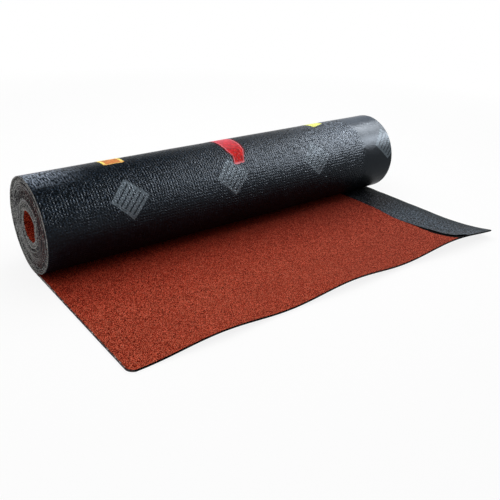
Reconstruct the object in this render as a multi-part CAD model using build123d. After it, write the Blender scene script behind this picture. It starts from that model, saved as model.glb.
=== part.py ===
from build123d import *

import math
import os

# A roll of mineral-surfaced roofing felt, lying on the floor with its free end rolled out.
# The sheet is wound with its granules inwards, so the free end shows them and the roll shows
# the film of the underside. A selvedge along the right edge carries no granules: the next
# sheet is lapped over it, and a thin release film covers it until then.
#
# Millimetres. X runs along the roll, the free end lies towards -Y, and Z is up. The origin is
# on the floor under the roll's axis, halfway along it.

# The sheet as it is sold
SHEET_WIDTH = 1000.0
SHEET_LENGTH = 7500.0
SHEET_THICKNESS = 4.2
GRANULE_DEPTH = 0.8
SELVEDGE_WIDTH = 100.0

# How it is wound
BORE_RADIUS = 32.0
WINDING_GAP = 0.3
CUT_EDGE_EASE = 0.4
TURN_LINE_DEPTH = 3.0

# The free end on the floor
TAIL_LENGTH = 425.0
CORNER_OVERHANG = 20.0
WORN_CORNER_RADIUS = 16.0
CURL_LENGTH = 130.0
WAVE_HEIGHT = 11.0
WAVE_LENGTH = 335.0
FIRST_TROUGH = 20.0
CORNER_LIFT = 12.0

# The release film on the selvedge
FILM_THICKNESS = 0.3
FILM_SET_BACK = 3.0
FILM_END_SET_BACK = 11.0
FILM_CLEARANCE = 0.15

# The strip of tape that held the roll shut, and the two plain labels beside it
TAPE_WIDTH = 50.0
TAPE_THICKNESS = 0.3
TAPE_PLACE = 491.0
TAPE_FRONT_ANGLE = 42.0
TAPE_BACK_ANGLE = 140.0
LABEL_WIDTH = 50.0
LABEL_THICKNESS = 0.25
LABEL_LENGTH = 62.0
LABEL_FRONT_ANGLE = 81.0
LEFT_LABEL_PLACE = 194.0
RIGHT_LABEL_PLACE = 799.0
STICK_CLEARANCE = 0.05

# Working values
SECTION_POINTS = 31
CURL_SECTIONS = 5
REACH = 10.0

# What follows from the sizes above
PITCH = SHEET_THICKNESS + WINDING_GAP
BASE_THICKNESS = SHEET_THICKNESS - GRANULE_DEPTH
OUTER_RADIUS = math.sqrt(BORE_RADIUS**2 + PITCH * (SHEET_LENGTH - TAIL_LENGTH) / math.pi)
AXIS_HEIGHT = OUTER_RADIUS + PITCH / 4
SELVEDGE_BORE_RADIUS = BORE_RADIUS + GRANULE_DEPTH
LEFT_EDGE = -SHEET_WIDTH / 2
RIGHT_EDGE = SHEET_WIDTH / 2
GRANULE_EDGE = RIGHT_EDGE - SELVEDGE_WIDTH
FLAT_LENGTH = TAIL_LENGTH - CURL_LENGTH


def half_turn(number):
    """Centre height, outer radius and start angle of one half turn, counted in from the floor.

    The winding is a two-centre spiral. Even half turns rise behind the axis and odd ones come
    down in front of it, each half a pitch smaller and tangent to the one before.
    """
    in_front = number % 2 == 1
    centre = OUTER_RADIUS + (PITCH / 2 if in_front else 0)
    return centre, OUTER_RADIUS - number * PITCH / 2, 90 if in_front else -90


def end_view(x, shape):
    """Stands a shape drawn in Y and Z upright at the given place along the roll."""
    return Plane.YZ.offset(x) * shape


def wound_sheet():
    """The coil with the level part of the free end, as the outline of its outermost turn."""
    back_centre, back_radius, back_start = half_turn(0)
    front_centre, front_radius, front_start = half_turn(1)
    outline = [
        Line((-FLAT_LENGTH, 0), (0, 0)),
        CenterArc((0, back_centre), back_radius, back_start, 180),
        CenterArc((0, front_centre), front_radius, front_start, 180),
        Line((0, PITCH), (0, SHEET_THICKNESS)),
        Line((0, SHEET_THICKNESS), (-FLAT_LENGTH, SHEET_THICKNESS)),
        Line((-FLAT_LENGTH, SHEET_THICKNESS), (-FLAT_LENGTH, 0)),
    ]
    return extrude(end_view(LEFT_EDGE, make_face(outline)), SHEET_WIDTH)


def turned_bore():
    """The hole through the roll, turned on its axis and wider where the sheet has no granules."""
    profile = Polyline(
        (LEFT_EDGE - REACH, 0),
        (LEFT_EDGE - REACH, BORE_RADIUS),
        (GRANULE_EDGE, BORE_RADIUS),
        (GRANULE_EDGE, SELVEDGE_BORE_RADIUS),
        (RIGHT_EDGE + REACH, SELVEDGE_BORE_RADIUS),
        (RIGHT_EDGE + REACH, 0),
        close=True,
    )
    bore = revolve(Plane.XZ * make_face(profile), Axis.X)
    return Pos(0, 0, AXIS_HEIGHT) * bore


def turn_line(thickness, bore_radius):
    """The spiral line between the turns on one end, for a sheet this thick there.

    It is the gap between two turns, opened by the eased edges on both sides of it. It starts
    in the nip under the roll and stops short of the bore.
    """
    solid_turn = bore_radius + PITCH + thickness
    room = OUTER_RADIUS - PITCH - CUT_EDGE_EASE - solid_turn
    outer_side, inner_side = [], []
    for number in range(math.floor(2 * room / PITCH)):
        centre, radius, start = half_turn(number)
        outer_radius = radius - thickness + CUT_EDGE_EASE
        inner_radius = radius - PITCH - CUT_EDGE_EASE
        outer_side.append(CenterArc((0, centre), outer_radius, start, 180))
        inner_side.append(CenterArc((0, centre), inner_radius, start, 180))
    nip_top, nip_bottom = inner_side[0] @ 0, outer_side[0] @ 0
    lead_in = Vector(-thickness / 2, 0)
    ends = [
        Line(outer_side[-1] @ 1, inner_side[-1] @ 1),
        Line(nip_top, nip_top + lead_in),
        Line(nip_top + lead_in, nip_bottom + lead_in),
        Line(nip_bottom + lead_in, nip_bottom),
    ]
    return make_face(outer_side + inner_side + ends)


def turn_lines():
    """The turns as they show on the two ends of the roll."""
    left = end_view(LEFT_EDGE - REACH, turn_line(SHEET_THICKNESS, BORE_RADIUS))
    right = end_view(RIGHT_EDGE - TURN_LINE_DEPTH, turn_line(BASE_THICKNESS, SELVEDGE_BORE_RADIUS))
    return extrude(left, REACH + TURN_LINE_DEPTH), extrude(right, REACH + TURN_LINE_DEPTH)


def lift(x, y):
    """Height of the underside over the floor: a cosine wave across the end, on a rise towards
    the right corner, both growing with the square of the way into the curl."""
    across = x - LEFT_EDGE
    wave = WAVE_HEIGHT / 2 * (1 - math.cos(2 * math.pi * (across - FIRST_TROUGH) / WAVE_LENGTH))
    into_curl = max(0, (-y - FLAT_LENGTH) / CURL_LENGTH)
    return into_curl**2 * (wave + CORNER_LIFT * (across / SHEET_WIDTH) ** 2)


def curl_layer(low, high):
    """A layer of the curled end between two heights over the underside, wider and longer than
    the sheet, as a loft through upright sections."""
    length = CURL_LENGTH + CORNER_OVERHANG + REACH
    width = SHEET_WIDTH + 2 * REACH
    xs = [width * (i / (SECTION_POINTS - 1) - 0.5) for i in range(SECTION_POINTS)]
    sections = []
    for i in range(CURL_SECTIONS):
        y = -FLAT_LENGTH - length * i / (CURL_SECTIONS - 1)
        underside = Spline(*[(x, y, lift(x, y)) for x in xs])
        bottom, top = Pos(0, 0, low) * underside, Pos(0, 0, high) * underside
        sections.append(make_face([bottom, Line(bottom @ 1, top @ 1), top, Line(top @ 0, bottom @ 0)]))
    return loft(sections)


def stand_clear():
    """The height of a block that passes through the whole curl with some to spare."""
    return WAVE_HEIGHT + CORNER_LIFT + 2 * SHEET_THICKNESS + 2 * REACH


def curl_plan():
    """The curled end seen from above, raised to stand through the whole curl. Its cut runs
    straight from the left and bows out to the right corner."""
    quarter = SHEET_WIDTH / 4
    corner = RIGHT_EDGE, -TAIL_LENGTH - CORNER_OVERHANG
    cut = Bezier(*[(LEFT_EDGE + i * quarter, -TAIL_LENGTH) for i in range(4)], corner)
    sides = Polyline(cut @ 1, (RIGHT_EDGE, -FLAT_LENGTH), (LEFT_EDGE, -FLAT_LENGTH), cut @ 0)
    plan = Pos(0, 0, -REACH) * extrude(make_face([cut, sides]), stand_clear())
    worn_corner = plan.edges().filter_by(Axis.Z).sort_by(Axis.X)[:2].sort_by(Axis.Y)[0]
    return fillet(worn_corner, WORN_CORNER_RADIUS)


def curled_end():
    """The last stretch of the free end, with its waves and its worn left corner."""
    return curl_layer(0, SHEET_THICKNESS) & curl_plan()


def bare_selvedge():
    """What the missing granules leave open over the selvedge of the free end."""
    level = Pos(GRANULE_EDGE, -FLAT_LENGTH, BASE_THICKNESS) * Box(
        SELVEDGE_WIDTH + REACH, FLAT_LENGTH, SHEET_THICKNESS, align=Align.MIN
    )
    beside_granules = Pos(GRANULE_EDGE, 0, 0) * Box(
        SELVEDGE_WIDTH + REACH,
        2 * (TAIL_LENGTH + CORNER_OVERHANG + REACH),
        2 * stand_clear(),
        align=(Align.MIN, Align.CENTER, Align.CENTER),
    )
    return level, curl_layer(BASE_THICKNESS, 2 * SHEET_THICKNESS) & beside_granules


def felt_roll():
    """The whole sheet of felt: coil, level stretch and curled end in one solid."""
    sheet = wound_sheet() - turned_bore()
    for line in turn_lines():
        sheet -= line
    sheet += curled_end()
    for opening in bare_selvedge():
        sheet -= opening
    return sheet


def selvedge_film():
    """The release film that lies on the bare selvedge, from the nip to the end of the sheet. It
    has drifted on the curl, where a strip of bare felt shows beside it."""
    low = BASE_THICKNESS + FILM_CLEARANCE
    left, left_at_end = GRANULE_EDGE + FILM_SET_BACK, GRANULE_EDGE + FILM_END_SET_BACK
    level = Pos(left, -FLAT_LENGTH, low) * Box(
        RIGHT_EDGE - left, FLAT_LENGTH - SHEET_THICKNESS, FILM_THICKNESS, align=Align.MIN
    )
    end = -TAIL_LENGTH - CORNER_OVERHANG
    beside_drift = Polyline(
        (left, -FLAT_LENGTH), (RIGHT_EDGE, -FLAT_LENGTH), (RIGHT_EDGE, end), (left_at_end, end), close=True
    )
    drifted = Pos(0, 0, -REACH) * extrude(make_face(beside_drift), stand_clear())
    return level + (curl_layer(low, low + FILM_THICKNESS) & curl_plan() & drifted)


def stuck_strip(place, width, thickness, front_angle, back_angle):
    """A strip stuck round the top of the roll. Angles are from the front, so 90 is the top, and
    place is from the roll's left end to the middle of the strip."""
    inner_side, outer_side = [], []
    behind = 0, max(front_angle, 90), back_angle
    in_front = 1, front_angle, min(back_angle, 90)
    for number, start, end in (in_front, behind):
        if start < end:
            centre, radius, _ = half_turn(number)
            inner_radius = radius + STICK_CLEARANCE
            inner_side.append(CenterArc((0, centre), inner_radius, 180 - start, start - end))
            outer_side.append(CenterArc((0, centre), inner_radius + thickness, 180 - start, start - end))
    ends = [
        Line(inner_side[0] @ 0, outer_side[0] @ 0),
        Line(inner_side[-1] @ 1, outer_side[-1] @ 1),
    ]
    profile = make_face(inner_side + outer_side + ends)
    return extrude(end_view(LEFT_EDGE + place - width / 2, profile), width)


def sealing_tape():
    """What is left of the tape that held the roll shut."""
    return stuck_strip(TAPE_PLACE, TAPE_WIDTH, TAPE_THICKNESS, TAPE_FRONT_ANGLE, TAPE_BACK_ANGLE)


def roll_label(place):
    """A plain label stuck on top of the roll."""
    back_angle = LABEL_FRONT_ANGLE + math.degrees(LABEL_LENGTH / OUTER_RADIUS)
    return stuck_strip(place, LABEL_WIDTH, LABEL_THICKNESS, LABEL_FRONT_ANGLE, back_angle)


pieces = {
    "felt_roll": felt_roll(),
    "selvedge_film": selvedge_film(),
    "sealing_tape": sealing_tape(),
    "left_label": roll_label(LEFT_LABEL_PLACE),
    "right_label": roll_label(RIGHT_LABEL_PLACE),
}
os.makedirs("parts", exist_ok=True)
for name, piece in pieces.items():
    export_step(piece, f"parts/{name}.step")
print("outer radius", round(OUTER_RADIUS, 2), "axis height", round(AXIS_HEIGHT, 2))
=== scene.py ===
import math

import bpy
import numpy as np
from mathutils import Matrix, Vector


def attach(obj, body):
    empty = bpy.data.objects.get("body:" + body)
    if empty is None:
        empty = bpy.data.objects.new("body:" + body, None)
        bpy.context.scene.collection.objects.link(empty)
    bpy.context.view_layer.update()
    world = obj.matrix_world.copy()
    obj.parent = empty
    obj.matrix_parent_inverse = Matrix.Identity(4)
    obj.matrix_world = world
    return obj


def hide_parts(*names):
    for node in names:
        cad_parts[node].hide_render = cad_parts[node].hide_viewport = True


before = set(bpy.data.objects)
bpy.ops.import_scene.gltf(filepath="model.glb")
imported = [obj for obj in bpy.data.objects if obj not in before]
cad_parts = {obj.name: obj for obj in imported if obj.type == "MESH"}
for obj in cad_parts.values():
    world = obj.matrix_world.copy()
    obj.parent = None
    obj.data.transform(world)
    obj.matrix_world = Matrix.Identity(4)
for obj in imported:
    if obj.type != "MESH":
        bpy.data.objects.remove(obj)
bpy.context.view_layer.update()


# The sheet of felt
#
# Bitumen on a reinforcing web, with red mineral granules on the weather side and an embossed film
# on the underside. It is 1 m wide and 7.5 m long, wound with the granules inwards, and the free end
# is rolled out on the floor.
SHEET_WIDTH = 1.0
SHEET_LENGTH = 7.5
SHEET_THICKNESS = 0.0042
GRANULE_DEPTH = 0.0008
SELVEDGE_WIDTH = 0.1
BORE_RADIUS = 0.032
PITCH = 0.0045
TAIL_LENGTH = 0.425
CORNER_OVERHANG = 0.020
WORN_CORNER_RADIUS = 0.016
CURL_LENGTH = 0.130
WAVE_HEIGHT = 0.011
WAVE_LENGTH = 0.335
FIRST_TROUGH = 0.020
CORNER_LIFT = 0.012
OUTER_RADIUS = math.sqrt(BORE_RADIUS**2 + PITCH * (SHEET_LENGTH - TAIL_LENGTH) / math.pi)
OUTER_TURN = np.pi * (2 * OUTER_RADIUS - PITCH / 2)
GRANULE_EDGE = SHEET_WIDTH / 2 - SELVEDGE_WIDTH
AXIS_HEIGHT = OUTER_RADIUS + PITCH / 4
FLAT_LENGTH = TAIL_LENGTH - CURL_LENGTH
HALF_TURNS_ENOUGH = 40


def lift(x, y):
    """Height of the underside over the floor: a cosine wave across the end, on a rise towards
    the right corner, times the square of the way into the curl."""
    across = x + SHEET_WIDTH / 2
    wave = WAVE_HEIGHT / 2 * (1 - np.cos(2 * np.pi * (across - FIRST_TROUGH) / WAVE_LENGTH))
    into_curl = np.clip((-y - FLAT_LENGTH) / CURL_LENGTH, 0, None)
    return into_curl**2 * (wave + CORNER_LIFT * (across / SHEET_WIDTH) ** 2)


def overhang(x, along):
    """How far the sheet is drawn out towards its right corner: the fourth power of the way across,
    growing in step with the way into the curl."""
    into_curl = np.clip((-along - FLAT_LENGTH) / CURL_LENGTH, 0, 1)
    return into_curl * CORNER_OVERHANG * ((x + SHEET_WIDTH / 2) / SHEET_WIDTH) ** 4


def on_sheet(x, along, depth):
    """A point of the sheet. along runs from the line where the roll leaves the floor, negative
    over the free end and positive into the roll, and depth is measured from the film side.

    The wound part is a two-centre spiral: half turn k has the radius R - k * pitch / 2, and its
    centre is half a pitch higher when k is odd, so each half turn is tangent to the next.
    """
    x, along, depth = np.broadcast_arrays(x, along, depth)
    half_turns = np.arange(HALF_TURNS_ENOUGH)
    ends = np.cumsum(np.pi * (OUTER_RADIUS - half_turns * PITCH / 2))
    half_turn = np.searchsorted(ends, np.clip(along, 0, None), side="right")
    start = np.where(half_turn > 0, ends[np.maximum(half_turn - 1, 0)], 0.0)
    radius = OUTER_RADIUS - half_turn * PITCH / 2
    odd = half_turn % 2
    angle = (np.clip(along, 0, None) - start) / radius - np.pi / 2 + odd * np.pi
    wound_y = np.cos(angle) * (radius - depth)
    wound_z = OUTER_RADIUS + odd * PITCH / 2 + np.sin(angle) * (radius - depth)
    wound = along > 0
    y = np.where(wound, wound_y, along)
    z = np.where(wound, wound_z, lift(x, along) + depth)
    return np.stack([x, y, z], axis=-1)


def ripple(a, wavelength, seed, b=0.0, b_wavelength=1.0):
    """Smooth seeded unevenness from about -1 to 1: a sum of six sines with random directions,
    phases and wavelengths near the given ones."""
    sines = 6
    draw = np.random.default_rng(seed)
    stretch, phase = draw.uniform(0.6, 1.9, (2, sines)), draw.uniform(0, 2 * np.pi, sines)
    sign = draw.choice([-1, 1], sines)
    total = 0.0
    for i in range(sines):
        turn = np.asarray(a) * stretch[0, i] / wavelength
        turn = turn + np.asarray(b) * sign[i] * stretch[1, i] / b_wavelength
        total = total + np.sin(2 * np.pi * turn + phase[i])
    return total / (sines / 2)


def grid_mesh(name, points, faces, uv, slots, slot_of_face, sharp_angle=35):
    """A mesh from whole arrays: points, faces as corner numbers, a UV in metres for each point,
    and the material slot of each face. Edges that turn by more than sharp_angle shade sharp."""
    mesh = bpy.data.meshes.new(name)
    mesh.from_pydata(points.reshape(-1, 3).tolist(), [], faces.tolist())
    layer = mesh.uv_layers.new(name="Felt")
    corners = np.empty(len(mesh.loops), dtype=np.int32)
    mesh.loops.foreach_get("vertex_index", corners)
    layer.data.foreach_set("uv", uv.reshape(-1, 2)[corners].astype(np.float32).ravel())
    for slot in slots:
        mesh.materials.append(slot)
    mesh.polygons.foreach_set("material_index", np.asarray(slot_of_face, dtype=np.int32))
    mesh.polygons.foreach_set("use_smooth", np.ones(len(faces), dtype=bool))
    mesh.set_sharp_from_angle(angle=math.radians(sharp_angle))
    mesh.update()
    piece = bpy.data.objects.new(name, mesh)
    bpy.context.scene.collection.objects.link(piece)
    return piece


def tube_faces(rows, loop):
    """Quads of a closed section of `loop` points carried over `rows` stations, then the two caps,
    each made by pairing the section's points from its two ends inwards."""
    row, column = np.meshgrid(np.arange(rows - 1), np.arange(loop), indexing="ij")
    here, beyond, after = row * loop, (row + 1) * loop, (column + 1) % loop
    corners = [here + column, here + after, beyond + after, beyond + column]
    sides = np.stack(corners, axis=-1).reshape(-1, 4)
    j = np.arange(loop // 2 - 1)
    cap = np.stack([j, loop - 1 - j, loop - 2 - j, j + 1], axis=-1)
    far_cap = np.stack([j, j + 1, loop - 2 - j, loop - 1 - j], axis=-1) + (rows - 1) * loop
    return sides, cap, far_cap


# The long edges are eased over 0.2 mm, by these depths at the edge and at the end of the easing
EASING_WIDTH = 0.0002
FILM_SIDE_EASING = (0.0006, 0.00015)
GRANULE_SIDE_EASING = (0.0009, 0.0003)

# How far in from a long edge the cut look reaches on either side
CUT_ON_FILM_SIDE = 0.00035
CUT_ON_GRANULE_SIDE = 0.0016

FILM_SLOT, GRANULE_SLOT, CUT_SLOT, BARE_SLOT = range(4)


def sheet_section(columns):
    """The sheet's closed section as x over the width and depth from the film side. The film side
    runs left to right and the granule side runs back, 0.8 mm lower over the bare selvedge."""
    half = SHEET_WIDTH / 2
    film_x = np.concatenate([[-half, -half + EASING_WIDTH], columns, [half - EASING_WIDTH, half]])
    flat = np.zeros(len(columns))
    film_depth = np.concatenate([FILM_SIDE_EASING, flat, FILM_SIDE_EASING[::-1]])
    easing = np.concatenate([GRANULE_SIDE_EASING, flat, GRANULE_SIDE_EASING[::-1]])
    top = np.where(film_x < GRANULE_EDGE, SHEET_THICKNESS, SHEET_THICKNESS - GRANULE_DEPTH)
    x = np.concatenate([film_x, film_x[::-1]])
    depth = np.concatenate([film_depth, (top - easing)[::-1]])
    return x, depth


def sheet_length(name, along, columns, recess_left, recess_right, slots, sink=None, end_ease=None):
    """A length of the sheet as one closed shell: the section is carried along the stations, its
    edges drawn in by each station's recess, its film side let in by the sink of each point and
    its whole thickness thinned by each station's end_ease."""
    x, depth = sheet_section(columns)
    count = len(x) // 2
    width = SHEET_WIDTH - recess_left - recess_right
    spread = -SHEET_WIDTH / 2 + recess_left[:, None] + (x + SHEET_WIDTH / 2) * width[:, None]
    depths = np.broadcast_to(depth, spread.shape).copy()
    if sink is not None:
        depths[:, :count] += sink(spread[:, :count], along[:, None])
    if end_ease is not None:
        middle = SHEET_THICKNESS / 2
        depths = middle + (depths - middle) * (1 - end_ease[:, None])
    rows = along[:, None] - overhang(spread, along[:, None])
    points = on_sheet(spread, rows, depths)
    uv = np.stack([spread + SHEET_WIDTH / 2, rows], axis=-1)

    middle_x = (x + np.roll(x, -1)) / 2
    number = np.arange(len(x))
    film_side = number < count - 1
    granule_side = (number >= count) & (number < len(x) - 1)
    from_edge = SHEET_WIDTH / 2 - np.abs(middle_x)
    cut = ~(film_side | granule_side) | (from_edge < CUT_ON_FILM_SIDE)
    cut |= granule_side & (from_edge < CUT_ON_GRANULE_SIDE)
    top_slot = np.where(middle_x < GRANULE_EDGE, GRANULE_SLOT, BARE_SLOT)
    section_slot = np.where(cut, CUT_SLOT, np.where(film_side, FILM_SLOT, top_slot))
    side_slots = np.tile(section_slot, len(along) - 1).reshape(-1, len(x))
    if end_ease is not None:
        side_slots[end_ease[1:] > 0] = BARE_SLOT
    sides, cap, far_cap = tube_faces(len(along), len(x))
    slot_of_face = np.concatenate([side_slots.ravel(), np.full(len(cap) * 2, BARE_SLOT)])
    faces = np.concatenate([sides, cap, far_cap])
    return grid_mesh(name, points, faces, uv, slots, slot_of_face)


def linear(*srgb):
    """A colour from 0-255 values as the eye sees them, in the linear values that shaders take."""
    values = [c / 255 for c in srgb]
    return (*[c / 12.92 if c <= 0.04045 else ((c + 0.055) / 1.055) ** 2.4 for c in values], 1)


class Nodes:
    """A node tree under construction: node() adds a node and feeds it, and the others add the
    arithmetic, noise, ramps and bumps that the finishes are made of."""

    def __init__(self, tree):
        self.tree = tree

    def feed(self, socket, value):
        if isinstance(value, bpy.types.NodeSocket):
            self.tree.links.new(value, socket)
        else:
            socket.default_value = value

    def node(self, kind, out=0, inputs=None, **settings):
        node = self.tree.nodes.new("ShaderNode" + kind)
        for key, value in settings.items():
            setattr(node, key, value)
        for key, value in (inputs or {}).items():
            self.feed(node.inputs[key], value)
        return node.outputs[out]

    def calc(self, operation, *values, clamp=False):
        inputs = dict(enumerate(values))
        return self.node("Math", inputs=inputs, operation=operation, use_clamp=clamp)

    def times(self, first, *others):
        """The product of all the values, from left to right."""
        for other in others:
            first = self.calc("MULTIPLY", first, other)
        return first

    def fade(self, value, start, end, before, after):
        """`before` up to the start and `after` beyond the end, with a straight change between."""
        stops = {"From Min": start, "From Max": end, "To Min": before, "To Max": after}
        return self.node("MapRange", inputs={"Value": value, **stops})

    def parts(self, value, kind="SeparateXYZ"):
        """The three parts of a vector, or of a colour with kind SeparateColor."""
        return tuple(self.node(kind, inputs={0: value}).node.outputs)

    def noise(self, where, scale, detail=3.0, roughness=0.55, stretch=None):
        """Noise with about `scale` lumps to a metre, or `stretch` times as many along each axis."""
        if stretch:
            where = self.node("Mapping", inputs={"Vector": where, "Scale": stretch})
        wanted = {"Vector": where, "Scale": scale, "Detail": detail, "Roughness": roughness}
        return self.node("TexNoise", "Fac", inputs=wanted)

    def ramp(self, factor, *stops):
        """Colours or greys placed along a factor, as (position, colour or grey) stops."""
        node = self.tree.nodes.new("ShaderNodeValToRGB")
        entries = node.color_ramp.elements
        while len(entries) < len(stops):
            entries.new(0.5)
        for entry, (position, colour) in zip(entries, stops):
            entry.position = position
            entry.color = colour if isinstance(colour, tuple) else (colour, colour, colour, 1)
        self.feed(node.inputs[0], factor)
        return node.outputs[0]

    def mix(self, factor, low, high, blend="MIX"):
        """From the low colour towards the high one by the factor."""
        node = self.tree.nodes.new("ShaderNodeMix")
        node.data_type, node.blend_type = "RGBA", blend
        factor_socket, low_socket, high_socket = node.inputs[0], node.inputs[6], node.inputs[7]
        self.feed(factor_socket, factor)
        self.feed(low_socket, low)
        self.feed(high_socket, high)
        return node.outputs[2]

    def bump(self, height, distance, strength=1.0, under=None):
        wanted = {"Height": height, "Distance": distance, "Strength": strength}
        if under is not None:
            wanted["Normal"] = under
        return self.node("Bump", inputs=wanted)


class Finish(Nodes):
    """A material under construction, with set() for the values of its shader."""

    def __init__(self, name):
        self.material = bpy.data.materials.new(name)
        self.material.use_nodes = True
        super().__init__(self.material.node_tree)
        self.tree.nodes.clear()
        self.shader = self.tree.nodes.new("ShaderNodeBsdfPrincipled")
        self.surface = self.tree.nodes.new("ShaderNodeOutputMaterial").inputs[0]
        self.feed(self.surface, self.shader.outputs[0])

    def set(self, **values):
        for key, value in values.items():
            self.feed(self.shader.inputs[key.replace("_", " ")], value)
        return self.material


# The lozenges printed on the film, placed by their centres. The UV's u runs over the sheet's
# width, and v up the back of the roll, over its top at 0.33 m and down its front.
MARK_SPACING = 0.265
MARK_ROW_SPACING = 0.180
FIRST_MARK = 0.188
FIRST_MARK_ROW = 0.442
LAST_MARKED = 0.55
MARK_REACH = 0.045
BORDER_SHARE = 0.2
HATCH_SPACING = 0.0155
HATCH_GAP = 0.3


def printed_ink(finish, uv, u, v, sway):
    """The share of ink at a place. A lozenge is where the way across plus the way along from its
    centre is under its reach; its border and the slanted hatch lines in it are inked, thinly, and
    every other row is shifted by half a spacing."""
    first_row_start = FIRST_MARK_ROW - MARK_ROW_SPACING / 2
    row = finish.calc("DIVIDE", finish.calc("SUBTRACT", v, first_row_start), MARK_ROW_SPACING)
    in_row = finish.calc("SUBTRACT", finish.calc("FRACT", row), 0.5)
    odd = finish.calc("ABSOLUTE", finish.calc("MODULO", finish.calc("FLOOR", row), 2.0))
    first_start = FIRST_MARK - MARK_SPACING / 2
    place = finish.calc("DIVIDE", finish.calc("SUBTRACT", u, first_start), MARK_SPACING)
    place = finish.calc("ADD", place, finish.times(odd, 0.5))
    in_place = finish.calc("SUBTRACT", finish.calc("FRACT", place), 0.5)
    away_across = finish.times(finish.calc("ABSOLUTE", in_place), MARK_SPACING / MARK_REACH)
    away_along = finish.times(finish.calc("ABSOLUTE", in_row), MARK_ROW_SPACING / MARK_REACH)
    away = finish.calc("ADD", away_across, away_along)
    rough_edge = finish.times(sway, 0.08)
    lozenge = finish.calc("LESS_THAN", finish.calc("ADD", away, rough_edge), 1.0)
    border = finish.calc("GREATER_THAN", away, 1.0 - BORDER_SHARE)
    across, along = finish.times(in_place, MARK_SPACING), finish.times(in_row, MARK_ROW_SPACING)
    slant = finish.calc("DIVIDE", finish.calc("ADD", across, along), HATCH_SPACING)
    hatch = finish.calc("GREATER_THAN", finish.calc("FRACT", slant), HATCH_GAP)
    thin = finish.ramp(finish.noise(uv, 230.0, 4.0, 0.7), (0.3, 0.3), (0.6, 1.0))
    marked = finish.calc("LESS_THAN", v, LAST_MARKED)
    return finish.times(lozenge, finish.calc("MAXIMUM", hatch, border), thin, 0.85, marked)


EMBOSSING_GRID = 0.0065
EMBOSSING_FADES, EMBOSSING_ENDS = 0.880, 0.900


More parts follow.
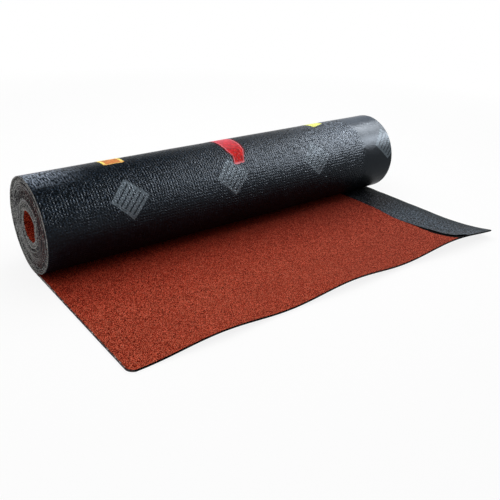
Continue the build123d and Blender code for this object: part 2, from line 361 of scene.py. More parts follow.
def underside_film():
    """The film on the underside: near-black, with printed lozenges, embossed with a woven-looking
    grid that stops at the smooth selvedge. The grid's height is the greater of a cosine across and
    a cosine along, broken up by noise. Pale specks on the embossing are painted glints, cut to a
    quarter on the lower front. At the left end over the top it is pale from rubbed wear and from a
    painted highlight, the upper front of the right end has a painted sheen broken into scuff-like
    marks, and the smooth selvedge has a painted sheen near the top."""
    finish = Finish("underside_film")
    uv = finish.node("UVMap", uv_map="Felt")
    u, v, _ = finish.parts(uv)

    sway = finish.calc("SUBTRACT", finish.noise(uv, 55.0, 2.0), 0.5)
    shift = finish.times(sway, 0.005)
    cell_u = finish.calc("DIVIDE", finish.calc("ADD", u, shift), EMBOSSING_GRID)
    cell_v = finish.calc("DIVIDE", finish.calc("ADD", v, shift), EMBOSSING_GRID)
    across = finish.calc("COSINE", finish.times(cell_u, 2 * math.pi))
    along = finish.calc("COSINE", finish.times(cell_v, 2 * math.pi))
    corner = {0: finish.calc("FLOOR", cell_u), 1: finish.calc("FLOOR", cell_v)}
    cell = finish.node("CombineXYZ", inputs=corner)
    uneven = finish.node("TexWhiteNoise", "Value", inputs={"Vector": cell})
    broken = finish.ramp(finish.noise(uv, 210.0, 3.0, 0.6), (0.3, 0.0), (0.7, 1.0))
    broken = finish.times(broken, finish.calc("MULTIPLY_ADD", uneven, 0.9, 0.45))
    stray_u = finish.calc("ADD", u, finish.times(sway, 0.02))
    embossed = finish.fade(stray_u, EMBOSSING_FADES, EMBOSSING_ENDS, 1.0, 0.0)
    ridge = finish.times(finish.calc("MAXIMUM", across, along), broken, embossed)
    sag = finish.noise(uv, 14.0, 3.0, stretch=(1.0, 2.0, 1.0))
    normal = finish.bump(sag, 0.004, 0.3)
    normal = finish.bump(ridge, 0.0006, under=normal)
    grit = finish.noise(uv, 230.0, 1.5, 0.5)
    grit = finish.times(grit, finish.calc("MULTIPLY_ADD", embossed, 0.9, 0.1))
    normal = finish.bump(grit, 0.0014, under=normal)

    streaks = finish.noise(uv, 60.0, 4.0, stretch=(6.0, 0.5, 1.0))
    colour = finish.ramp(streaks, (0.3, linear(1, 3, 5)), (0.72, linear(5, 9, 14)))
    # Painted glints: pale specks on the ridges, cut to a quarter on the lower front.
    specks = finish.noise(uv, 290.0, 2.0, 0.6, stretch=(1.0, 0.6, 1.0))
    specks = finish.ramp(specks, (0.5, 0.0), (0.6, 1.0))
    on_ridges = finish.calc("MULTIPLY_ADD", ridge, 0.6, 0.4)
    specks = finish.times(specks, on_ridges, finish.fade(v, 0.44, 0.49, 1.0, 0.25))
    specks = finish.calc("MULTIPLY", specks, embossed, clamp=True)
    colour = finish.mix(specks, colour, linear(50, 64, 80))
    dust = finish.ramp(finish.noise(uv, 9.0, 5.0, 0.65), (0.52, 0.0), (0.8, 0.12))
    colour = finish.mix(dust, colour, linear(50, 58, 66))

    over_top = finish.fade(v, 0.23, 0.32, 0.0, 1.0)
    scuffs = finish.noise(uv, 280.0, 2.0, 0.7, stretch=(1.0, 0.35, 1.0))
    scuffs = finish.ramp(scuffs, (0.44, 0.0), (0.58, 1.0))
    # The pale patch at the left end over the top is partly rubbed wear and partly a painted
    # highlight.
    left_end, high = finish.fade(u, 0.02, 0.13, 1.0, 0.0), finish.fade(v, 0.345, 0.385, 1.0, 0.0)
    rubbed = finish.times(left_end, high, over_top, scuffs)
    on_lines = finish.calc("MULTIPLY_ADD", across, 0.35, 1.0)
    rubbed = finish.calc("MULTIPLY", rubbed, on_lines, clamp=True)
    colour = finish.mix(rubbed, colour, linear(156, 168, 184))
    # Painted sheen on the upper front of the right end, broken into scuff-like marks.
    right_end, upper = finish.fade(u, 0.66, 0.84, 0.0, 0.5), finish.fade(v, 0.395, 0.445, 1.0, 0.0)
    painted_sheen_scuffs = finish.times(right_end, upper, over_top, scuffs, embossed)
    colour = finish.mix(painted_sheen_scuffs, colour, linear(150, 162, 178))
    # Painted sheen near the top of the smooth selvedge.
    smooth = finish.calc("SUBTRACT", 1.0, embossed)
    painted_selvedge_sheen = finish.times(finish.fade(v, 0.35, 0.39, 0.3, 0.0), over_top, smooth)
    colour = finish.mix(painted_selvedge_sheen, colour, linear(150, 162, 178))
    ink = printed_ink(finish, uv, u, v, sway)
    colour = finish.mix(ink, colour, linear(112, 124, 132))

    rough = finish.ramp(finish.noise(uv, 35.0, 4.0), (0.3, 0.28), (0.75, 0.36))
    rough = finish.times(rough, finish.calc("MULTIPLY_ADD", embossed, -0.05, 1.0))
    return finish.set(
        Base_Color=colour,
        Roughness=rough,
        Normal=normal,
        Specular_IOR_Level=0.03,
        Specular_Tint=(5.2, 6.0, 7.0, 1.0),
    )


# Where the granules of the free end stop: x at the roll, how much less it gets with each metre out
# from the roll, and how far the line strays
BARE_LINE = 0.414
BARE_LINE_SLANT = 0.1
BARE_LINE_STRAY = 0.006


def mineral_granules():
    """Crushed, fired mineral grains of about 1.2 mm pressed into the bitumen: most brick red, some
    paler or darker, in clumps that are coarser to the right, with the dark ground showing between
    them. Painted shade makes them darker and redder towards the roll and in it, and on the free end
    they stop short of the selvedge."""
    finish = Finish("mineral_granules")
    place = finish.node("TexCoord", "Object")
    across, along, _ = finish.parts(place)
    grains = {"Vector": place, "Scale": 880.0, "Randomness": 1.0}
    distance = finish.node("TexVoronoi", "Distance", inputs=grains)
    grain_colour = finish.node("TexVoronoi", "Color", inputs=grains)
    grain, grain_height, _ = finish.parts(grain_colour, "SeparateColor")
    shade = finish.ramp(
        grain,
        (0.0, linear(46, 6, 3)),
        (0.2, linear(110, 18, 8)),
        (0.5, linear(168, 44, 25)),
        (0.78, linear(200, 70, 44)),
        (0.94, linear(250, 152, 116)),
    )
    clumps = finish.noise(place, 640.0, 1.0, 0.6)
    shade = finish.mix(finish.ramp(clumps, (0.42, 0.95), (0.51, 0.0)), shade, linear(56, 6, 3))
    shade = finish.mix(finish.ramp(clumps, (0.52, 0.0), (0.6, 0.95)), shade, linear(228, 102, 74))
    patch = finish.noise(place, 7.0, 4.0)
    shade = finish.mix(finish.ramp(patch, (0.35, 0.0), (0.7, 0.1)), shade, linear(118, 32, 20))
    gap = finish.ramp(distance, (0.55, 0.0), (0.85, 0.7))
    shade = finish.mix(gap, shade, linear(50, 10, 6))
    # Painted shade: darker and redder towards the roll and inside it.
    painted_shade_by_roll = finish.fade(along, -0.27, -0.06, 0.0, 0.6)
    shade = finish.mix(painted_shade_by_roll, shade, (0.94, 0.4, 0.3, 1), "MULTIPLY")
    coarser = finish.noise(place, 400.0, 1.0, 0.6)
    to_right = finish.fade(across, -0.25, 0.3, 0.0, 1.0)
    thin = finish.times(to_right, finish.ramp(coarser, (0.4, 0.8), (0.52, 0.0)))
    shade = finish.mix(thin, shade, linear(84, 16, 10))
    thick = finish.times(to_right, finish.ramp(coarser, (0.52, 0.0), (0.62, 0.45)))
    shade = finish.mix(thick, shade, linear(212, 92, 68))
    bare_line = finish.calc("MULTIPLY_ADD", along, BARE_LINE_SLANT, BARE_LINE)
    stray = finish.noise(place, 40.0, 3.0)
    bare_line = finish.calc("MULTIPLY_ADD", stray, BARE_LINE_STRAY, bare_line)
    beyond = finish.calc("GREATER_THAN", across, bare_line)
    rolled_out = finish.calc("LESS_THAN", along, -0.02)
    shade = finish.mix(finish.times(beyond, rolled_out), shade, linear(7, 7, 8))
    height = finish.calc("SUBTRACT", 1.0, distance)
    height = finish.calc("ADD", height, finish.times(grain_height, 0.5))
    normal = finish.bump(height, 0.0007, 0.85)
    return finish.set(Base_Color=shade, Roughness=0.9, Normal=normal, Specular_IOR_Level=0.02)


def cut_edge():
    """The cut and rubbed long edges: dark bitumen under a blotchy grey mineral dusting. On the
    roll's ends the dusting differs from turn to turn, with a dark line between the turns, and is
    paler at the outer turn and round the bore, with a brown-red band between them on the front
    side. The way into a turn is the fraction of (outer radius - radius) / pitch - angle / 360."""
    finish = Finish("cut_edge")
    place = finish.node("TexCoord", "Object")
    _, across, above_floor = finish.parts(place)
    blotches = finish.ramp(finish.noise(place, 290.0, 2.0, 0.7), (0.43, 0.0), (0.57, 1.0))
    patches = finish.ramp(finish.noise(place, 60.0, 3.0), (0.35, 0.35), (0.65, 0.9))
    dusting = finish.times(blotches, patches)
    colour = finish.mix(dusting, linear(12, 12, 14), linear(196, 197, 197))

    high = finish.calc("SUBTRACT", above_floor, AXIS_HEIGHT)
    squares = finish.calc("ADD", finish.times(across, across), finish.times(high, high))
    radius = finish.calc("SQRT", squares)
    inwards = finish.calc("MULTIPLY_ADD", radius, -1 / PITCH, OUTER_RADIUS / PITCH)
    turned = finish.times(finish.calc("ARCTAN2", high, across), 0.5 / math.pi)
    into_turn = finish.calc("FRACT", finish.calc("SUBTRACT", inwards, turned))
    by_turn = {0: inwards, 1: finish.times(across, 12.0), 2: finish.times(high, 12.0)}
    dusting = finish.noise(finish.node("CombineXYZ", inputs=by_turn), 0.75, 2.0, 0.6)
    inner = finish.calc("LESS_THAN", radius, OUTER_RADIUS - PITCH)
    bared = finish.times(finish.ramp(dusting, (0.38, 0.75), (0.5, 0.0)), inner)
    colour = finish.mix(bared, colour, linear(26, 25, 28))
    dusted = finish.times(finish.ramp(dusting, (0.52, 0.0), (0.64, 0.5)), inner)
    colour = finish.mix(dusted, colour, linear(186, 186, 184))
    between = finish.ramp(into_turn, (0.0, 1.0), (0.07, 0.6), (0.2, 0.0), (0.74, 0.0), (0.86, 0.8))
    wound = finish.calc("LESS_THAN", radius, OUTER_RADIUS + PITCH / 2)
    colour = finish.mix(finish.times(between, wound, 0.8), colour, linear(8, 8, 9))

    sway = finish.calc("SUBTRACT", finish.noise(place, 30.0, 4.0, 0.6), 0.5)
    stray_radius = finish.calc("ADD", radius, finish.times(sway, 0.03))
    in_decimetres = finish.times(stray_radius, 10.0)
    in_front = finish.calc("MULTIPLY_ADD", across, -4.0, 0.5)
    in_front = finish.ramp(in_front, (0.3, 0.0), (0.75, 1.0))
    band = finish.ramp(in_decimetres, (0.54, 0.0), (0.64, 0.8), (0.84, 0.8), (0.94, 0.0))
    colour = finish.mix(finish.times(band, in_front), colour, linear(46, 20, 22))
    pale = finish.ramp(in_decimetres, (0.38, 0.5), (0.52, 0.0), (0.92, 0.0), (1.0, 0.4))
    colour = finish.mix(finish.times(pale, blotches), colour, linear(176, 176, 170))

    rolled_out = finish.ramp(finish.times(across, -5.0), (0.55, 0.0), (0.6, 1.0))
    chipped = finish.ramp(finish.noise(place, 70.0, 3.0, 0.7), (0.6, 1.0), (0.68, 0.0))
    dark = finish.times(rolled_out, chipped, 0.85)
    colour = finish.mix(dark, colour, linear(20, 19, 20))
    specks = finish.node("TexVoronoi", "Color", inputs={"Vector": place, "Scale": 480.0})
    first_chance, second_chance, _ = finish.parts(specks, "SeparateColor")
    red = finish.calc("GREATER_THAN", first_chance, 0.9)
    colour = finish.mix(finish.times(red, in_front, 0.6), colour, linear(116, 44, 36))
    white = finish.calc("GREATER_THAN", second_chance, 0.93)
    colour = finish.mix(finish.times(white, 0.7), colour, linear(200, 198, 192))
    normal = finish.bump(finish.noise(place, 420.0, 4.0, 0.7), 0.0012, 0.9)
    return finish.set(Base_Color=colour, Roughness=0.9, Normal=normal, Specular_IOR_Level=0.1)


def bare_bitumen():
    """The selvedge under its release film: smooth black bitumen with a slight roll of its own."""
    finish = Finish("bare_bitumen")
    place = finish.node("TexCoord", "Object")
    shades = (0.3, linear(3, 3, 4)), (0.7, linear(9, 9, 10))
    colour = finish.ramp(finish.noise(place, 120.0, 4.0), *shades)
    normal = finish.bump(finish.noise(place, 60.0, 3.0), 0.0006, 0.5)
    return finish.set(Base_Color=colour, Roughness=0.8, Normal=normal, Specular_IOR_Level=0.03)


felt_slots = [underside_film(), mineral_granules(), cut_edge(), bare_bitumen()]

# The outer length: the free end and the first turn round the roll. Its stations are close
# together at the worn cut, and its columns at the long edges and at the edge of the granules.
worn_steps = (0, 0.3, 0.8, 1.8, 3.5, 6.0, 9.0, 12.5, 16.0, 20.0, 25.0)
end_rows = -TAIL_LENGTH + np.array(worn_steps) / 1000
tail_rows = np.linspace(-TAIL_LENGTH + 0.032, -0.012, 50)
nip_rows = np.array([-0.006, -0.002, 0.0])
turn_rows = np.linspace(0, OUTER_TURN, 113)[1:]
along = np.concatenate([end_rows, tail_rows, nip_rows, turn_rows])
from_end = along + TAIL_LENGTH
corner = np.clip(WORN_CORNER_RADIUS - from_end, 0, None)
worn = WORN_CORNER_RADIUS - np.sqrt(WORN_CORNER_RADIUS**2 - corner**2)
NICK_DEPTH = 0.00035
nicks = np.where(along < 0, NICK_DEPTH * np.clip(ripple(along, 0.02, 3), 0, None), 0)
end_ease = np.interp(from_end, [0, 0.0003, 0.0010], [0.25, 0.08, 0])
edge_columns = np.array([0.496, 0.4985, 0.4994])
columns = np.concatenate(
    [
        -edge_columns[::-1],
        np.linspace(-0.49, GRANULE_EDGE - 0.008, 112),
        [GRANULE_EDGE - 0.0004, GRANULE_EDGE + 0.0004],
        np.linspace(GRANULE_EDGE + 0.008, 0.49, 11),
        edge_columns,
    ]
)


SLACK, MOST_SLACK = 0.00025, 0.0007


def outer_sink(x, along):
    """The slack of the outer turn: a ripple round 0.25 mm in from the tight spiral, kept within
    0 and 0.7 mm; none on the floor."""
    slack = SLACK * (1 + ripple(x, 0.3, 5, along, 0.14))
    return np.where(along > 0, np.clip(slack, 0, MOST_SLACK), 0)


no_recess = np.zeros(len(along))
outer_length = sheet_length(
    "outer_length", along, columns, worn + nicks, no_recess, felt_slots, outer_sink, end_ease
)

# The inner turns, with fewer columns, because only their edges show. The edges wander in by up to
# about 2 mm from turn to turn.
ROWS_PER_TURN = 72
TURNS = 17
EDGE_WANDER = 0.0007
inner_end = SHEET_LENGTH - TAIL_LENGTH
turn = np.arange(ROWS_PER_TURN * TURNS + 1) / ROWS_PER_TURN
wound_length = 2 * np.pi * (OUTER_RADIUS * turn - PITCH * turn**2 / 2) + OUTER_TURN
inner_rows = np.append(wound_length[wound_length < inner_end - 0.002], inner_end)
inner_columns = np.array(
    [-0.4994, -0.498, -0.49, -0.46, -0.3, -0.1, 0.1, 0.3, 0.3996, 0.4004, 0.46, 0.49, 0.498, 0.4994]
)


def edge_wander(wavelength, seed):
    """How far an edge stands in at each station: a ripple of the given wavelength and the next
    seed's ripple of 70 mm, round 0.7 mm, and never out past the sheet's width."""
    slow, quick = ripple(inner_rows, wavelength, seed), ripple(inner_rows, 0.07, seed + 1)
    return np.clip(EDGE_WANDER * (1 + 0.6 * slow + 0.6 * quick), 0, None)


inner_turns = sheet_length(
    "inner_turns", inner_rows, inner_columns, edge_wander(1.9, 11), edge_wander(1.7, 13), felt_slots
)
for piece in (outer_length, inner_turns):
    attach(piece, "root")
    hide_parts("felt_roll")


# The release film
#
# A thin plastic strip that keeps the bare selvedge clean until the next sheet is lapped over it.
# It lies loose on the bitumen, and has drifted and lifted a little where the end curls up.
FILM_THICKNESS = 0.0003
FILM_CLEARANCE = 0.0001
FILM_SLACK = 0.00035
FILM_SET_IN = 0.0006
STEP_STARTS, STEP_WIDTH = 0.0006, 0.006
EDGE_WAVER = 0.0006
LIP_HEIGHT = 0.0034
LIP_WIDTH = 0.006
LIP_STARTS = 0.24
film_rows = np.concatenate([end_rows, np.linspace(-TAIL_LENGTH + 0.030, -0.006, 70)])
film_across = np.linspace(0, 1, 41) ** 1.3

# The inner edge, as distances from the roll and x
FILM_INNER_EDGE = (
    (0.0, 0.390),
    (0.16, 0.391),
    (0.20, 0.385),
    (0.24, 0.3805),
    (0.27, 0.383),
    (0.30, 0.388),
    (0.34, 0.393),
    (0.375, 0.387),
    (0.405, 0.385),
    (0.425, 0.399),
)


def film_shape(rows, across):
    """The strip's top side over its length and width. Its inner edge strays over the granules by
    1 to 20 mm, and towards the cut end it lifts in a lip that dies out exponentially over 6 mm.
    Beside the granules it eases down to the selvedge by a smooth step."""
    rows, across = np.meshgrid(rows, across, indexing="ij")
    into_lip = np.clip((-rows - LIP_STARTS) / (TAIL_LENGTH - LIP_STARTS), 0, 1)
    inner = np.interp(-rows, *zip(*FILM_INNER_EDGE)) + EDGE_WAVER * ripple(rows, 0.05, 21)
    x = inner + across * (SHEET_WIDTH / 2 - FILM_SET_IN - inner)
    lip = LIP_HEIGHT * into_lip**0.7 * np.exp(-(x - inner) / LIP_WIDTH)
    slack = FILM_SLACK * (1 + ripple(x, 0.05, 22, rows, 0.07)) * np.clip(across * 6, 0, 1)
    off_granules = np.clip((x - GRANULE_EDGE - STEP_STARTS) / STEP_WIDTH, 0, 1)
    step_down = GRANULE_DEPTH * off_granules**2 * (3 - 2 * off_granules)
    height = SHEET_THICKNESS - step_down + FILM_CLEARANCE + FILM_THICKNESS + lip + slack
    return x, rows - overhang(x, rows), height


def there_and_back(over, under):
    """A closed section from its two sides: one side's values, then the other's in reverse."""
    return np.concatenate([over, under[:, ::-1]], axis=1)


def film_strip():
    """The strip as a closed shell: its top side, the same surface a film's thickness lower, and
    the narrow faces that join the two all round."""
    x, rows, height = film_shape(film_rows, film_across)
    section_x, section_rows = there_and_back(x, x), there_and_back(rows, rows)
    points = on_sheet(section_x, section_rows, there_and_back(height - FILM_THICKNESS, height))
    uv = np.stack([section_x + SHEET_WIDTH / 2, section_rows], axis=-1)
    faces = np.concatenate(tube_faces(len(film_rows), section_x.shape[1]))
    finish = release_film_finish()
    return grid_mesh("release_film", points, faces, uv, [finish], np.zeros(len(faces)))


def release_film_finish():
    """Thin matt film, grey-blue over the black bitumen, with dark specks and with pale specks that
    are painted glints. Painted shade takes it near black close to the roll, and it is darker along
    its outer edge."""
    finish = Finish("release_film")
    uv = finish.node("UVMap", uv_map="Felt")
    u, v, _ = finish.parts(uv)
    mottle = finish.noise(uv, 70.0, 6.0, 0.65)
    shades = (0.3, linear(26, 38, 46)), (0.5, linear(56, 72, 84)), (0.7, linear(88, 104, 118))
    colour = finish.ramp(mottle, *shades)
    # Painted shade: near black close to the roll.
    colour = finish.mix(finish.fade(v, -0.23, -0.13, 0.0, 0.92), colour, linear(10, 12, 17))
    fine = finish.noise(uv, 240.0, 2.0, 0.7)
    colour = finish.mix(finish.ramp(fine, (0.46, 1.0), (0.54, 0.0)), colour, linear(5, 7, 10))
    # Painted glints: pale specks.
    pale = finish.ramp(fine, (0.55, 0.0), (0.63, 0.5))
    colour = finish.mix(pale, colour, linear(138, 142, 156))
    colour = finish.mix(finish.fade(u, 0.955, 0.985, 0.0, 0.6), colour, linear(30, 38, 42))
    rust = finish.ramp(finish.noise(uv, 26.0, 3.0), (0.55, 0.0), (0.75, 0.2))
    colour = finish.mix(rust, colour, linear(60, 48, 44))
    rough = finish.ramp(finish.noise(uv, 180.0, 3.0), (0.3, 0.38), (0.7, 0.56))
    normal = finish.bump(finish.noise(uv, 45.0, 4.0), 0.0009, 0.5)
    normal = finish.bump(finish.noise(uv, 700.0, 2.0), 0.00012, 0.5, under=normal)
    return finish.set(Base_Color=colour, Roughness=rough, Normal=normal, Specular_IOR_Level=0.04)


release_film = film_strip()
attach(release_film, "root")
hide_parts("selvedge_film")


# What is stuck on the roll
#
# The red tape that held the roll shut was cut and torn off at the front, and its ragged end is
# left. Beside it are the remains of two plain labels, the left one orange with a yellow border.
FRONT = 1.5 * np.pi * OUTER_RADIUS - np.pi * PITCH / 4
LET_IN = 0.00004
PATCH_COLUMNS, PATCH_STATIONS = 33, 120

# The waver of a patch's sides, what the tear adds to it as a share of the tear's depth, and the
# height of its creases as a share of the same; both die out over these distances from the tear
WAVER = 0.0004
TORN_WAVER, TORN_WAVER_REACH = 0.06, 0.03
CREASES, CREASES_REACH = 0.03, 0.02
CREASES_LEFT = 0.05


def stuck_patch(name, sides_at, front_angle, back_angle, thickness, material, ragged, seed):
    """A strip stuck round the top of the roll, as a closed shell. Angles are from the front, so 90
    is the top. sides_at gives where its two sides are at distances from its front end, which is
    torn into a ragged line of the given depth; its sides waver and it is creased, both more so
    towards the tear, by an exponential of the way back."""
    across = np.linspace(0, 1, PATCH_COLUMNS)
    share = np.linspace(0, 1, PATCH_STATIONS)[:, None]
    start = FRONT - math.radians(front_angle) * OUTER_RADIUS
    length = math.radians(back_angle - front_angle) * OUTER_RADIUS
    tear = ragged * (0.5 + 0.32 * ripple(across, 0.5, seed) + 0.18 * ripple(across, 0.13, seed + 5))
    along = start - tear - share * (length - tear)
    distances, left_side, right_side = (np.array(row) for row in zip(*sides_at))
    run = share * length
    waver = WAVER + TORN_WAVER * ragged * np.exp(-run / TORN_WAVER_REACH)
    left = np.interp(run, distances, left_side) + waver * ripple(run, 0.02, seed + 1)
    right = np.interp(run, distances, right_side) + waver * ripple(run, 0.02, seed + 2)
    x = left + across * (right - left)
    creased = CREASES * ragged * (CREASES_LEFT + np.exp(-run / CREASES_REACH))
    crease = creased * (1 + ripple(x, 0.02, seed + 3, along, 0.012))
    low = outer_sink(x, along) - LET_IN
    high = low - thickness - crease
    section_x, section_along = there_and_back(x, x), there_and_back(along, along)
    points = on_sheet(section_x, section_along, there_and_back(low, high))
    full_width = right_side[-1] - left_side[-1]
    section_across = np.concatenate([across, across[::-1]])
    from_middle = (np.broadcast_to(section_across, section_x.shape) - 0.5) * full_width
    uv = np.stack([from_middle, start - section_along], axis=-1)
    faces = np.concatenate(tube_faces(PATCH_STATIONS, section_x.shape[1]))
    return grid_mesh(name, points, faces, uv, [material], np.zeros(len(faces)))


# Where the painted glint line and the painted shadow line along the tape's sides start, from its
# middle
TAPE_GLINT_FROM, TAPE_SHADOW_FROM = 0.0212, 0.0238


def red_tape_finish():
    """Glossy red packing tape, with a painted pink highlight over the top of the roll, a painted
    glint line and then a painted shadow line along each side, creased, and with its colour rubbed
    thin where it tore. Its UV runs across from its middle, and back from its torn end."""
    finish = Finish("red_tape")
    uv = finish.node("UVMap", uv_map="Felt")
    across, back, _ = finish.parts(uv)
    off_centre = finish.calc("ABSOLUTE", across)
    reds = (0.4, linear(128, 0, 0)), (0.5, linear(184, 0, 4)), (0.62, linear(226, 28, 26))
    colour = finish.ramp(finish.noise(uv, 90.0, 4.0, 0.8), *reds)
    # Painted highlight: pink over the top of the roll.
    colour = finish.mix(finish.fade(back, 0.035, 0.105, 0.0, 0.7), colour, linear(232, 104, 120))
    # A painted glint line along each side, and outside it a painted shadow line.
    painted_glint_line = finish.times(finish.calc("GREATER_THAN", off_centre, TAPE_GLINT_FROM), 0.6)
    colour = finish.mix(painted_glint_line, colour, linear(240, 144, 156))
    painted_shadow_line = finish.calc("GREATER_THAN", off_centre, TAPE_SHADOW_FROM)
    colour = finish.mix(painted_shadow_line, colour, linear(98, 4, 8))
    colour = finish.mix(finish.fade(back, 0.004, 0.009, 0.8, 0.0), colour, linear(246, 160, 172))
    creases = finish.noise(uv, 240.0, 4.0, 0.6, stretch=(1.0, 0.45, 1.0))
    pale = finish.ramp(creases, (0.58, 0.0), (0.65, 0.8))
    torn = finish.fade(back, 0.02, 0.06, 1.0, 0.15)
    colour = finish.mix(finish.times(pale, torn), colour, linear(255, 140, 140))
    normal = finish.bump(creases, 0.0009, 0.6)
    return finish.set(Base_Color=colour, Roughness=0.4, Normal=normal, Specular_IOR_Level=0.02)


def label_finish(name, panel_width, panel_middle, panel, border, worn):
    """Printed paper with no words on it: a panel colour inside a border colour, rubbed darker in
    blotches, and worn where its front end was torn. The panel's length is 1.44 times the way
    from the torn end to its middle."""
    finish = Finish(name)
    uv = finish.node("UVMap", uv_map="Felt")
    across, back, _ = finish.parts(uv)
    from_middle = finish.calc("ABSOLUTE", finish.calc("SUBTRACT", back, panel_middle))
    inside = finish.times(
        finish.calc("LESS_THAN", finish.calc("ABSOLUTE", across), panel_width / 2),
        finish.calc("LESS_THAN", from_middle, panel_middle * 0.72),
    )
    rubbed = finish.ramp(finish.noise(uv, 110.0, 3.0, 0.7), (0.45, 0.0), (0.62, 0.8))
    rubbed_panel = (*[0.45 * value for value in panel[:3]], 1)
    colour = finish.mix(inside, border, finish.mix(rubbed, panel, rubbed_panel))
    fibres = finish.noise(uv, 320.0, 4.0)
    torn = finish.fade(back, 0.004, 0.012, 0.75, 0.0)
    torn = finish.times(torn, finish.ramp(fibres, (0.35, 1.0), (0.65, 0.4)))
    colour = finish.mix(torn, colour, worn)
    bare_fibres = finish.ramp(fibres, (0.4, 0.0), (0.8, 0.18))
    colour = finish.mix(bare_fibres, colour, linear(230, 224, 206))
    normal = finish.bump(fibres, 0.00015, 0.5)
    return finish.set(Base_Color=colour, Roughness=0.5, Normal=normal, Specular_IOR_Level=0.1)


# Each row of sides is a distance from the front end, and x of the left and of the right side
tape_sides = (
    (0.0, -0.0335, -0.004),
    (0.014, -0.031, 0.003),
    (0.024, -0.0285, 0.0085),
    (0.036, -0.035, 0.016),
    (0.060, -0.037, 0.0185),
    (0.200, -0.037, 0.0185),
)
left_sides = ((0.0, -0.330, -0.282), (0.1, -0.3305, -0.2815))
right_sides = (
    (0.0, 0.274, 0.282),
    (0.006, 0.2745, 0.296),
    (0.012, 0.2745, 0.318),
    (0.1, 0.2745, 0.3235),
)
orange, deep_yellow, red_brown = linear(228, 134, 54), linear(255, 226, 112), linear(190, 56, 40)
orange_paper = label_finish("orange_label", 0.036, 0.022, orange, deep_yellow, red_brown)
yellow, worn_yellow = linear(232, 236, 120), linear(200, 200, 90)
yellow_paper = label_finish("yellow_label", 0.0, 0.022, yellow, yellow, worn_yellow)
sealing_tape = stuck_patch(
    "red_tape",
    tape_sides,
    front_angle=41,
    back_angle=139,
    thickness=0.0002,
    material=red_tape_finish(),
    ragged=0.006,
    seed=31,
)
left_label = stuck_patch(
    "orange_label",
    left_sides,
    front_angle=81,
    back_angle=114,
    thickness=0.00015,
    material=orange_paper,
    ragged=0.004,
    seed=41,
)
right_label = stuck_patch(
    "yellow_label",
    right_sides,
    front_angle=82,
    back_angle=114,
    thickness=0.00015,
    material=yellow_paper,
    ragged=0.006,
    seed=51,
)
for piece, slot, node in (
    (sealing_tape, "tape", "sealing_tape"),
    (left_label, "label_orange", "left_label"),
    (right_label, "label_yellow", "right_label"),
):
    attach(piece, "root")
    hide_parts(node)


# Floor, light and camera
#
# A white studio: the floor and the world are white to the camera and in reflections, and light
# the roll at a plain level. Five soft lamps light the roll without showing in it, and four lamps
# that only show in reflections give the sheen on the film.
FLOOR_REACH = 15
FLOOR_DROP = 0.0004


def studio_floor():
    """A wide flat floor, mostly self-lit white to the camera and in reflections, that still takes
    a soft shadow near the roll."""
    mesh = bpy.data.meshes.new("studio_floor")
    ways = ((-1, -1), (1, -1), (1, 1), (-1, 1))
    corners = [(x * FLOOR_REACH, y * FLOOR_REACH, -FLOOR_DROP) for x, y in ways]
    mesh.from_pydata(corners, [], [[0, 1, 2, 3]])
    finish = Finish("studio_floor")
    finish.set(Base_Color=linear(244, 244, 244), Roughness=0.9, Specular_IOR_Level=0.1)
    glow = finish.node("Emission", inputs={"Color": (1, 1, 1, 1), "Strength": 1.0})
    path = finish.node("LightPath").node.outputs
    reflected = finish.calc("MAXIMUM", path["Is Glossy Ray"], path["Is Transmission Ray"])
    seen = finish.calc("MAXIMUM", path["Is Camera Ray"], reflected)
    place = finish.node("TexCoord", "Object")
    away = finish.node("VectorMath", "Value", inputs={0: place}, operation="LENGTH")
    share = finish.times(seen, finish.fade(away, 0.8, 2.2, 0.85, 1.0))
    parts = {0: share, 1: finish.shader.outputs[0], 2: glow}
    finish.feed(finish.surface, finish.node("MixShader", inputs=parts))
    mesh.materials.append(finish.material)
    floor = bpy.data.objects.new("studio_floor", mesh)
    bpy.context.scene.collection.objects.link(floor)
    return floor


studio_floor()

# The world: white to the camera, a white backdrop low down in reflections, and 0.17 as light
WORLD_LIGHT = 0.17
world = bpy.data.worlds.new("studio")
bpy.context.scene.world = world
world.use_nodes = True
sky = Nodes(world.node_tree)
_, _, up_share = sky.parts(sky.node("TexCoord", "Generated"))
backdrop = sky.fade(up_share, 0.12, 0.4, 1.0, 0.0)
path = sky.node("LightPath").node.outputs
reflected = sky.calc("MAXIMUM", path["Is Glossy Ray"], path["Is Transmission Ray"])
level = sky.fade(reflected, 0.0, 1.0, WORLD_LIGHT, backdrop)
background = sky.tree.nodes["Background"]
sky.feed(background.inputs["Color"], (1, 1, 1, 1))
sky.feed(background.inputs["Strength"], sky.calc("MAXIMUM", level, path["Is Camera Ray"]))

LAMPS_FACE = Vector((0, -0.1, 0.1))


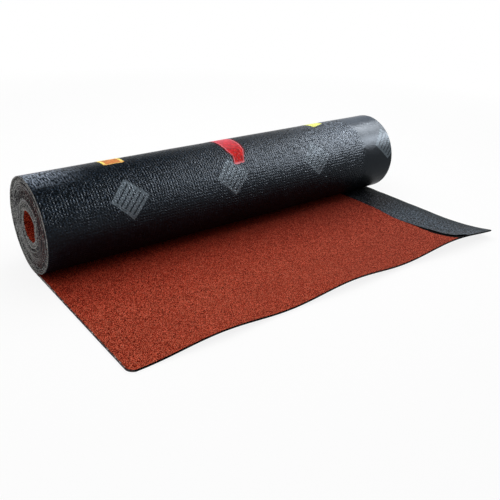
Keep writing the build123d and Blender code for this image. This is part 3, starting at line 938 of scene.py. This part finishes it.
def lamp(name, direction, distance, size, power):
    """A square soft lamp at a distance along a direction from the roll, turned to face it."""
    light = bpy.data.lights.new(name, "AREA")
    light.shape, light.size, light.energy = "SQUARE", size, power
    holder = bpy.data.objects.new(name, light)
    towards = Vector(direction).normalized()
    holder.location = LAMPS_FACE + towards * distance
    holder.rotation_euler = towards.to_track_quat("Z", "Y").to_euler()
    bpy.context.scene.collection.objects.link(holder)
    return holder


for name, direction, distance, size, power in (
    ("top", (0, 0.15, 1), 1.6, 2.4, 23.3),
    ("top_back", (0, 0.5, 0.87), 2.0, 1.8, 10.9),
    ("back_right", (0.55, 0.5, 0.65), 2.2, 1.4, 9.4),
    ("left_front", (-0.6, -0.4, 0.7), 2.2, 1.4, 6.3),
    ("right_front", (0.6, -0.4, 0.7), 2.2, 1.4, 3.1),
):
    lamp(name, direction, distance, size, power).visible_glossy = False
for name, direction, power in (
    ("sheen_right", (0.77, 0.08, 0.65), 24),
    ("sheen_low", (0.875, -0.23, 0.42), 22),
    ("sheen_front", (0.64, -0.42, 0.56), 18),
    ("sheen_back", (0.6, 0.5, 0.6), 3.5),
):
    lamp(name, direction, distance=1.5, size=0.5, power=power).visible_diffuse = False

CAMERA_PLACE = (-0.8604, -1.1790, 0.6374)
YAW, PITCH_DOWN, ROLL = math.radians(38.66), math.radians(26.21), math.radians(2.314)
FOCAL_PIXELS, PICTURE_PIXELS = 617.1, 500
SENSOR_WIDTH = 36
ahead, down = math.cos(PITCH_DOWN), math.sin(PITCH_DOWN)
forward = Vector((math.sin(YAW) * ahead, math.cos(YAW) * ahead, -down))
level_right = Vector((math.cos(YAW), -math.sin(YAW), 0))
level_up = level_right.cross(forward)
right = math.cos(ROLL) * level_right + math.sin(ROLL) * level_up
up = -math.sin(ROLL) * level_right + math.cos(ROLL) * level_up
turned = Matrix((right, up, -forward)).transposed().to_4x4()
eye = bpy.data.cameras.new("camera")
eye.sensor_width = SENSOR_WIDTH
eye.lens = FOCAL_PIXELS / PICTURE_PIXELS * SENSOR_WIDTH
camera = bpy.data.objects.new("camera", eye)
camera.matrix_world = Matrix.Translation(CAMERA_PLACE) @ turned
bpy.context.scene.collection.objects.link(camera)
bpy.context.scene.camera = camera
bpy.context.scene.view_settings.view_transform = "Standard"
